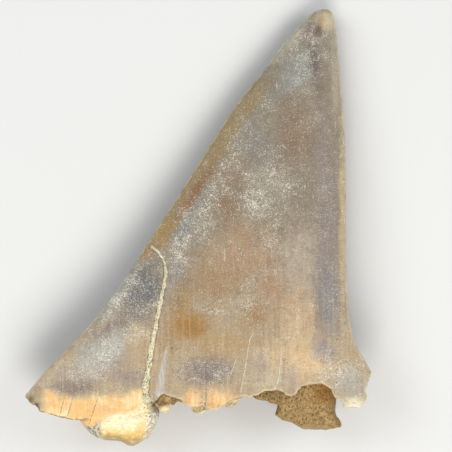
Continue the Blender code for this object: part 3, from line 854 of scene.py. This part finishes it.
enamelTones = {
    "high": (142, 130, 112), "low": (190, 168, 136),
    "amber": (150, 128, 86), "amberInner": (136, 94, 52), "amberFoot": (164, 132, 74),
    "paleStreak": (222, 204, 174), "darkStreak": (132, 108, 84), "mottle": (112, 94, 76),
    "band": (255, 208, 128), "bandPale": (255, 246, 200), "bandOrange": (255, 190, 106),
    "nub": (255, 178, 90), "nubPale": (255, 226, 164),
    "paintedSheen": (214, 214, 206), "speck": (238, 232, 212), "crumb": (240, 234, 214),
    "spark": (255, 253, 240), "hair": (240, 232, 206), "darkSpeck": (98, 82, 66),
    "tipMark": (160, 126, 96), "tipStain": (98, 74, 56), "litRim": (244, 230, 190),
    "tab": (122, 92, 44), "tabPale": (206, 168, 100),
    "cornerMark": (128, 108, 62), "cornerPitShade": (60, 48, 34), "edgeCrumb": (112, 86, 54),
    "root": (253, 241, 192), "rootFoot": (246, 214, 132), "rootTop": (255, 222, 150),
    "wrinkle": (196, 152, 88), "rootPale": (255, 252, 228), "rootCream": (255, 250, 214),
    "rootOchre": (240, 192, 100), "rootGrain": (222, 180, 106), "rootSpark": (255, 255, 240),
    "rootShade": (228, 190, 110), "oliveFootShade": (172, 144, 84),
    "greyDark": (128, 120, 96), "grey": (226, 222, 204), "rimDark": (178, 170, 140),
    "rimPale": (255, 252, 240), "crumbly": (70, 62, 44), "rootSide": (168, 138, 88),
    "rootPore": (84, 74, 54),
    "crackWhite": (248, 244, 230), "crackBlue": (214, 220, 220), "crackDark": (84, 70, 66),
    "hollow": (112, 84, 46), "hollowPale": (184, 152, 104),
}
enamelLook = {
    "stainRagged": 0.9,
    "cloudRagged": 1.8,
    "deeper": {"Saturation": 1.08, "Value": 0.98},
    # a pair is where something begins and where it is full: first the distances from an edge
    "amberWidth": (1.35, 0.85), "amberInner": (0.25, 0.9), "bandWidth": (1.85, 1.1),
    "leftRim": (0.13, 0.03), "rightRim": (0.14, 0.03), "brokenRim": (0.16, 0.04),
    "crumbWidth": (0.1, 0.02), "leftOfSeam": (-0.05, 0.05), "rootEdge": (0.2, -0.25),
    "rootTop": (-0.35, 0.15), "oliveWidth": (0.6, 0.1), "rightRimWidth": (0.75, 0.35),
    # then the places along the tooth
    "lowTone": (2.0, -10.0), "amberFoot": (-2.5, -0.5), "amberTop": (11.0, 8.5),
    "amberLow": (0.8, -0.2), "streaked": (1.0, -7.0), "mottled": (-5.0, -9.0),
    "bandTop": (-10.9, -11.4), "specksThin": (5.0, 9.0), "tabTop": (-11.4, -11.7),
    "crumbTop": (-12.0, -12.3), "rootBelowSeam": (-12.1, -12.3), "rootFoot": (-13.1, -14.4),
    "amberMiddle": 2.4, "amberHalf": (3.2, 0.6),
    # then across it
    "bandLeft": (-11.0, -10.1), "crumbRight": (-7.2, -7.8), "rootRight": (-2.2, -2.5),
    "oliveRight": (-3.4, -4.2), "oliveLeft": (-7.0, -6.2), "greyEnd": (-6.5, -6.9),
    "rightRimFrom": (-3.9, -3.3),
    "rootSide": (3.4, 2.2),  # and this one in height
}

enamel = Finish("fossilEnamel", enamelTones, Subsurface_Weight=0.2, Subsurface_Scale=0.18 * mm,
                Subsurface_Radius=(1.0, 0.7, 0.45), Coat_Weight=0.12, Coat_Roughness=0.3,
                Specular_IOR_Level=0.45)
e, at = enamel, enamelLook
wobbles = [e.noise(0.5, 5, 0.65), e.noise(0.6, 5, 0.65, shift=(6, 2, 3))]
e.colour = e.mix(e.ease(e.y, *at["lowTone"]), "high", "low")
for k, (centre, reach, turn, seen, strength) in enumerate(stains.values()):
    mask = e.patch(centre, reach, turn, at["stainRagged"], wobbles[k % 2])
    e.lay(mask * strength, linear(seen))
leftGap, rightGap = e.attribute("leftGap"), e.attribute("rightGap")
amber = e.ease(leftGap + wobbles[0].swing(1.4), *at["amberWidth"])
amber = amber * e.ease(e.y, *at["amberFoot"]) * e.ease(e.y, *at["amberTop"])
inner = e.ease(leftGap, *at["amberInner"]) * e.ease(abs(e.y - at["amberMiddle"]), *at["amberHalf"])
amberTone = e.mix(inner, "amber", "amberInner")
amberTone = e.mix(e.ease(e.y, *at["amberLow"]), amberTone, "amberFoot")
e.lay(amber * 0.95, amberTone)
streaks = e.noise(1.0, 4, 0.7, stretch=(5.0, 0.22, 1))
inStreaks = e.ease(e.y, *at["streaked"], 0.25, 1.0)
e.lay(e.ease(streaks, 0.5, 0.7) * inStreaks * 0.3, "paleStreak")
e.lay(e.ease(streaks, 0.5, 0.3) * inStreaks * 0.3, "darkStreak")
mottle = e.noise(2.2, 5, 0.75, stretch=(1, 0.6, 1), shift=(3, 3, 8))
e.lay(e.ease(mottle, 0.55, 0.35) * e.ease(e.y, *at["mottled"], 0.3, 0.15), "mottle")
e.colour = e.node("ShaderNodeHueSaturation", {}, {**at["deeper"], "Color": e.colour})

# the orange band above the broken corner, and orange nubs along the broken edge
cornerGap = e.attribute("cornerGap")
leftOfSeam = e.ease(e.attribute("seam"), *at["leftOfSeam"])
bandEdge = e.noise(1.3, 4, 0.65, stretch=(1.6, 0.3, 1))
orangeBand = e.ease(cornerGap + bandEdge.swing(1.1), *at["bandWidth"])
orangeBand = orangeBand * e.ease(e.x, *at["bandLeft"]) * leftOfSeam
orangeBand = orangeBand * e.ease(e.y + bandEdge.swing(0.8), *at["bandTop"])
bandGrain = e.noise(1.6, 4, 0.7, stretch=(3.0, 0.35, 1), shift=(2, 2, 2))
bandTone = e.mix(e.ease(bandGrain, 0.3, 0.7), "band", "bandPale")
bandTone = e.mix(e.ease(wobbles[1], 0.4, 0.56) * 0.65, bandTone, "bandOrange")
e.lay(orangeBand * 0.97, bandTone)
brokenGap = e.attribute("brokenGap")
nubs = e.patch(*spots["nubLeft"], wobbles[0]) + e.patch(*spots["nubRight"], wobbles[1])
e.lay(nubs * 0.95, e.mix(e.ease(bandGrain, 0.35, 0.65), "nub", "nubPale"))

# white specks and scratches, in clouds; over the clouds a painted sheen is laid, and the sparks are painted
# glints
ragged = e.noise(0.9, 5, 0.8, shift=(8, 1, 5))
cloud = e.ease(e.noise(0.7, 4, 0.7, shift=(4.1, 2.2, 0)), 0.42, 0.7) * 0.6
for centre, reach, turn, thickness in speckAndSheenClouds.values():
    cloud = cloud + e.patch(centre, reach, turn, at["cloudRagged"], ragged) * (0.7 * thickness)
cloud = cloud * e.ease(e.noise(1.6, 4, 0.8, shift=(5, 5, 2)), 0.3, 0.6, 0.45, 0.9)
fine = e.noise(11.0, 3, 0.8)
coarse = e.noise(3.4, 6, 0.85, shift=(1, 7, 2))
sparks = e.ease(e.noise(7.0, 2, 0.9, shift=(6, 4, 7)) + cloud * 0.04, 0.66, 0.72)
specks = e.ease(fine + cloud * 0.09, 0.56, 0.66)
crumbs = e.ease(coarse + cloud * 0.1, 0.61, 0.69)
hairs = e.ease(e.noise(1.5, 2, 0.5, stretch=(6.0, 0.7, 1), shift=(1, 9, 4)), 0.7, 0.76)
hairs = hairs + e.ease(e.noise(1.5, 2, 0.5, stretch=(0.9, 5.0, 1), shift=(7, 2, 6)), 0.72, 0.78)
clean = 1 - e.sum("MAXIMUM", orangeBand * 0.6, e.patch(*spots["clean"]) * 0.7)
# a painted sheen, paler where the clouds are thick
e.lay(cloud * clean * 0.1, "paintedSheen")
density = clean * e.ease(cloud, 0.0, 0.9, 0.5, 1.0) * e.ease(e.y, *at["specksThin"], 1.0, 0.7)
e.lay(specks * density * 0.9, "speck")
e.lay(crumbs * density * 0.4, "crumb")
# painted glints: bright points of sparkle in the clouds
e.lay(sparks * density * 0.9, "spark")
e.lay(hairs * clean * 0.5, "hair")
darks = e.ease(e.noise(6.5, 3, 0.7, shift=(9, 3, 1)), 0.43, 0.33)
e.lay(darks * density * 0.75, "darkSpeck")
e.lay(e.patch(*spots["tipMark"]) * 0.5, "tipMark")
e.lay(e.patch(*spots["tipStain"], ragged) * 0.75, "tipStain")

# the thin rims let light through: a painted glow along them, strongest on faces turned up
rimGrain = e.ease(e.noise(1.8, 3, 0.7, shift=(2, 8, 1)), 0.35, 0.6, 0.25, 1.0)
rimLight = e.ease(leftGap, *at["leftRim"]) * 0.55 + e.ease(rightGap, *at["rightRim"]) * 0.55
rimLight = rimLight + e.ease(brokenGap + rimGrain.swing(0.1), *at["brokenRim"]) * 0.75
e.lay(rimLight * rimGrain * e.ease(e.attribute("facing"), 0.0, 0.7, 0.2, 1.0), "litRim")

# the crown is amber where the tab and the chips hang from it
tabs = e.patch(*spots["tab"]) * e.ease(e.y, *at["tabTop"])
tabs = tabs + e.patch(*spots["shell"]) + e.patch(*spots["thin"])
e.lay(tabs * 0.85, e.mix(e.ease(fine, 0.4, 0.6), "tab", "tabPale"))

# small marks in the left corner, one the painted shade of a pit, and crumbs of brown along its broken edge
e.lay(e.patch(*spots["cornerMark"]), "cornerMark")
e.lay(e.patch(*spots["cornerPitShade"], ragged) * 0.9, "cornerPitShade")
edgeCrumbs = e.ease(cornerGap + coarse.swing(0.3), *at["crumbWidth"])
edgeCrumbs = edgeCrumbs * e.ease(e.x, *at["crumbRight"]) * e.ease(e.y, *at["crumbTop"])
e.lay(edgeCrumbs * 0.75, "edgeCrumb")

# the root below its border with the enamel
root = e.attribute("root")
rootEdge = e.noise(2.0, 5, 0.65, shift=(5, 0, 0))
rootMask = e.ease(root + rootEdge.swing(1.0), *at["rootEdge"]) * e.ease(e.x, *at["rootRight"])
rootMask = rootMask * e.sum("MAXIMUM", leftOfSeam, e.ease(e.y, *at["rootBelowSeam"]))
enamelColour = e.colour
e.colour = e.mix(e.ease(e.y + rootEdge.swing(2.0), *at["rootFoot"]), "root", "rootFoot")
e.lay(e.ease(root, *at["rootTop"]) * 0.8, "rootTop")
wrinkles = e.noise(0.9, 4, 0.6, stretch=(0.7, 1.9, 1), shift=(0, 0, 3))
wrinkle = e.ease(abs(wrinkles - 0.5), 0.025, 0.0) + e.ease(abs(wrinkles - 0.43), 0.015, 0.0)
e.lay(wrinkle * 0.45, "wrinkle")
e.lay(e.ease(rootEdge, 0.55, 0.7) * 0.6, "rootPale")
e.lay(e.patch(*spots["rootCream"], rootEdge) * 0.6, "rootCream")
e.lay(e.patch(*spots["rootOchre"], rootEdge) * 0.9, "rootOchre")
rootFine = e.noise(5.5, 4, 0.75, stretch=(0.7, 1.3, 1), shift=(6, 6, 1))
e.lay(e.ease(rootFine, 0.48, 0.36) * 0.55, "rootGrain")
e.lay(e.ease(rootFine, 0.54, 0.64) * 0.6, "rootSpark")
e.lay(e.patch(*spots["rootShade"], rootEdge) * 0.6, "rootShade")
footGap = e.attribute("footGap")
# painted shade, olive brown, along the root's foot where it curves away
oliveFootShade = e.ease(footGap + rootEdge.swing(1.0), *at["oliveWidth"]) * 0.9
oliveFootShade = oliveFootShade * e.ease(e.x, *at["oliveRight"]) * e.ease(e.x, *at["oliveLeft"])
e.lay(oliveFootShade, "oliveFootShade")
greyEnd = e.ease(e.x + rootEdge.swing(1.0), *at["greyEnd"])
rightRim = e.ease(footGap + rootEdge.swing(0.6), *at["rightRimWidth"])
rightRim = rightRim * e.ease(e.x, *at["rightRimFrom"])
crumb = e.ease(e.noise(4.5, 4, 0.8, shift=(4, 4, 4)), 0.42, 0.58)
e.lay(greyEnd, e.mix(crumb, "greyDark", "grey"))
e.lay(rightRim * 0.8, e.mix(crumb, "rimDark", "rimPale"))
crumbly = e.ease(e.cells(4.6, shift=(1, 1, 1)), 0.24, 0.14) * e.sum("MAXIMUM", greyEnd, rightRim)
e.lay(crumbly * 0.85, "crumbly")
e.lay(e.ease(e.z, *at["rootSide"]) * 0.8, "rootSide")
e.colour = e.mix(rootMask, enamelColour, e.colour)
e.lay(e.attribute("pore") * rootMask * 0.8, "rootPore")

# fine cracks
fibres = e.noise(1.0, 3, 0.75, stretch=(10.0, 0.8, 1), shift=(0, 4, 4))
beads = e.ease(e.noise(4.5, 3, 0.8, shift=(3, 1, 0)), 0.42, 0.56, 0.2, 1.0)
crackTone = e.attribute("crackTone")
crackWidth = e.attribute("crackWidth")
line = e.ease(abs(e.attribute("crackSide")) / crackWidth, 1.5, 0.25)
wide = e.ease(crackWidth, 0.07, 0.12)
line = line * e.sum("MULTIPLY_ADD", wide, e.ease(fibres, 0.38, 0.6, 0.25, 1.0) - beads, beads)
e.lay(line * crackTone, e.mix(wide, "crackWhite", "crackBlue"))
e.lay(line * (0 - crackTone), "crackDark")

inside = e.ease(e.attribute("covered"), 0.35, 0.8)
e.lay(inside, e.mix(fine, "hollow", "hollowPale"))
e.paint()
e.feed("Roughness", 0.42 + 0.2 * specks + 0.25 * inside)
surface = e.bump(e.noise(5.0, 4, 0.6), 0.02, 0.6)
surface = e.bump(fine, 0.015, 0.7, surface)
surface = e.bump(wrinkles + 0.3 * coarse, 0.12, 0.7, surface)
surface = e.bump(1 - line * abs(crackTone), 0.03, 0.8, surface)
e.feed("Normal", surface)
print("enamel made")


# Spongy dentine

spongeTones = {
    "dark": (122, 94, 52), "light": (192, 160, 106), "hollows": (126, 96, 54), "lumps": (206, 178, 126),
    "stain": (104, 66, 20), "stainPale": (190, 132, 56), "pale": (224, 198, 150), "pit": (86, 58, 26),
    "pore": (88, 62, 30), "lowRim": (172, 162, 138),
}
spongeLook = {
    "stain": [(8.7, -11.1), (1.35, 1.3), 0, 0.8],  # place, reach, turn, how ragged
    "rimFoot": (-13.5, -13.8), "rimRight": (9.0, 8.2), "rimTop": (1.6, 2.2),
}
sponge = Finish("spongyDentine", spongeTones, Subsurface_Weight=0.1, Subsurface_Scale=0.3 * mm,
                Subsurface_Radius=(1.0, 0.6, 0.35), Specular_IOR_Level=0.25)
d, at = sponge, spongeLook
grit = d.noise(6.0, 5, 0.85)
d.colour = d.mix(d.ease(grit, 0.34, 0.62), "dark", "light")
lumpy = d.noise(1.2, 4, 0.65)
d.lay(d.ease(lumpy, 0.5, 0.34) * 0.45, "hollows")
d.lay(d.ease(lumpy, 0.5, 0.66) * 0.4, "lumps")
d.lay(d.patch(*at["stain"], lumpy) * 0.8, d.mix(grit, "stain", "stainPale"))
d.lay(d.ease(d.noise(9.0, 2, 0.6, shift=(2, 5, 1)), 0.58, 0.68) * 0.55, "pale")
d.lay(d.ease(d.cells(5.0, stretch=(1, 0.4, 1)), 0.18, 0.06) * 0.5, "pit")
d.lay(d.ease(d.attribute("pore"), 0.2, 0.9) * 0.6, "pore")
lowRim = d.ease(d.y + grit.swing(1.2), *at["rimFoot"])
lowRim = lowRim * d.ease(d.x, *at["rimRight"]) * d.ease(d.z, *at["rimTop"])
d.lay(lowRim * 0.55, "lowRim")
d.paint()
d.feed("Roughness", 0.7 + 0.2 * grit)
d.feed("Normal", d.bump(grit, 0.08, 0.9))


# The seam's lip

lipTones = {
    "top": (238, 230, 204), "foot": (248, 242, 212), "dip": (196, 180, 134), "crestHighlight": (255, 252, 232),
    "pore": (92, 82, 62),
}
lipBone = Finish("seamBone", lipTones, Subsurface_Weight=0.2, Subsurface_Scale=0.3 * mm,
                 Subsurface_Radius=(1.0, 0.7, 0.4), Specular_IOR_Level=0.3)
b = lipBone
grit = b.noise(6.0, 4, 0.8)
lipTone = b.mix(b.ease(b.y, -2.5, -6.5), "top", "foot")
b.colour = b.mix(b.ease(grit, 0.36, 0.6), "dip", lipTone)
# painted highlights on the crests of the grit
b.lay(b.ease(grit, 0.6, 0.72), "crestHighlight")
b.lay(b.attribute("pore") * 0.85, "pore")
b.paint()
b.feed("Roughness", 0.6 + 0.2 * grit)
b.feed("Normal", b.bump(grit, 0.03, 0.7))


# The glassy chips

chipTones = {
    # the side tone is a painted shade, and the tip tone is a pale colour with a painted highlight
    "dark": (120, 90, 42), "light": (204, 168, 104), "shell": (196, 184, 152), "side": (84, 54, 24),
    "tip": (255, 240, 190), "rim": (236, 224, 184),
}
chipSpots = {
    # place, reach, turn, how ragged
    "tip": [(-2.25, -12.4), (0.5, 0.24), 10, 1.0],
    "side": [(-2.85, -11.8), (0.28, 0.7)],
}
chipFinish = Finish("glassyChip", chipTones, Subsurface_Weight=0.3, Subsurface_Scale=0.3 * mm,
                    Subsurface_Radius=(1.0, 0.7, 0.45), Coat_Weight=0.4, Coat_Roughness=0.15)
c = chipFinish
tone = c.noise(2.2, 4, 0.7)
c.colour = c.mix(c.ease(tone, 0.38, 0.62), "dark", "light")
shell = c.ease(c.x, -1.2, -0.8) * c.ease(c.x, 1.6, 1.2)
c.lay(shell * 0.75, "shell")
# painted shade in the nook on the tab's left side
c.lay(c.patch(*chipSpots["side"]) * 0.9, "side")
# a pale tip with a painted highlight on it
c.lay(c.patch(*chipSpots["tip"], tone) * 0.9, "tip")
c.lay(c.attribute("rim") * c.ease(c.noise(3.0, 2, 0.6), 0.4, 0.6) * 0.6, "rim")
c.paint()
c.feed("Roughness", 0.25 + 0.2 * tone)
c.feed("Normal", c.bump(c.noise(7.0, 3, 0.6), 0.02, 0.6))
print("finishes made")

for name, piece in chipPieces.items():
    finishPiece(piece, sponge.material if name == "shred" else chipFinish.material)
finishPiece(crown, enamel.material)
finishPiece(rootStub, enamel.material)
finishPiece(dentine, sponge.material)
finishPiece(seamLip, lipBone.material)
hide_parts("tooth")


# The studio

floorLook = {"size": 1.6, "colour": (0.6, 0.6, 0.59, 1), "roughness": 0.6}
bpy.ops.object.select_all(action="DESELECT")
bpy.ops.mesh.primitive_plane_add(size=floorLook["size"])
floor = bpy.context.active_object
floor.name = "floor"
floorFinish = bpy.data.materials.new("floor")
floorFinish.use_nodes = True
floorShader = floorFinish.node_tree.nodes["Principled BSDF"]
floorShader.inputs["Base Color"].default_value = floorLook["colour"]
floorShader.inputs["Roughness"].default_value = floorLook["roughness"]
floor.data.materials.append(floorFinish)

lights = {
    "key": {"place": (0.02, -0.2, 0.24), "size": 0.2, "watts": 0.85, "colour": (1.0, 0.97, 0.92)},
    "fill": {"place": (-0.2, 0.1, 0.22), "size": 0.2, "watts": 0.4, "colour": (0.93, 0.96, 1.0)},
    "side": {"place": (0.22, 0.04, 0.16), "size": 0.14, "watts": 0.27, "colour": (1.0, 1.0, 1.0)},
}
for name, look in lights.items():
    bpy.ops.object.light_add(type="AREA", location=look["place"])
    light = bpy.context.active_object
    light.name = name
    light.data.energy = look["watts"]
    light.data.size = look["size"]
    light.data.color = look["colour"]
    light.rotation_euler = Vector(look["place"]).to_track_quat("Z", "Y").to_euler()
    light.visible_camera = False

worldLook = {"Color": (0.86, 0.88, 0.9, 1), "Strength": 0.52}
world = bpy.data.worlds.new("studio")
world.use_nodes = True
for key, value in worldLook.items():
    world.node_tree.nodes["Background"].inputs[key].default_value = value
bpy.context.scene.world = world
bpy.context.scene.view_settings.view_transform = "Standard"

cameraLook = {
    "lens": 400,
    "sensor": 36,
    "frame": 30.92 * mm,
    "over": (1.88 * mm, 0.05 * mm),
    "focusHeight": 3 * mm,
    "clip": (0.01, 10),
}
bpy.ops.object.camera_add()
camera = bpy.context.active_object
camera.data.lens = cameraLook["lens"]
camera.data.sensor_width = cameraLook["sensor"]
distance = cameraLook["frame"] * cameraLook["lens"] / cameraLook["sensor"]
camera.location = (*cameraLook["over"], cameraLook["focusHeight"] + distance)
camera.rotation_euler = (0, 0, 0)
camera.data.clip_start, camera.data.clip_end = cameraLook["clip"]
bpy.context.scene.camera = camera
print("studio made")
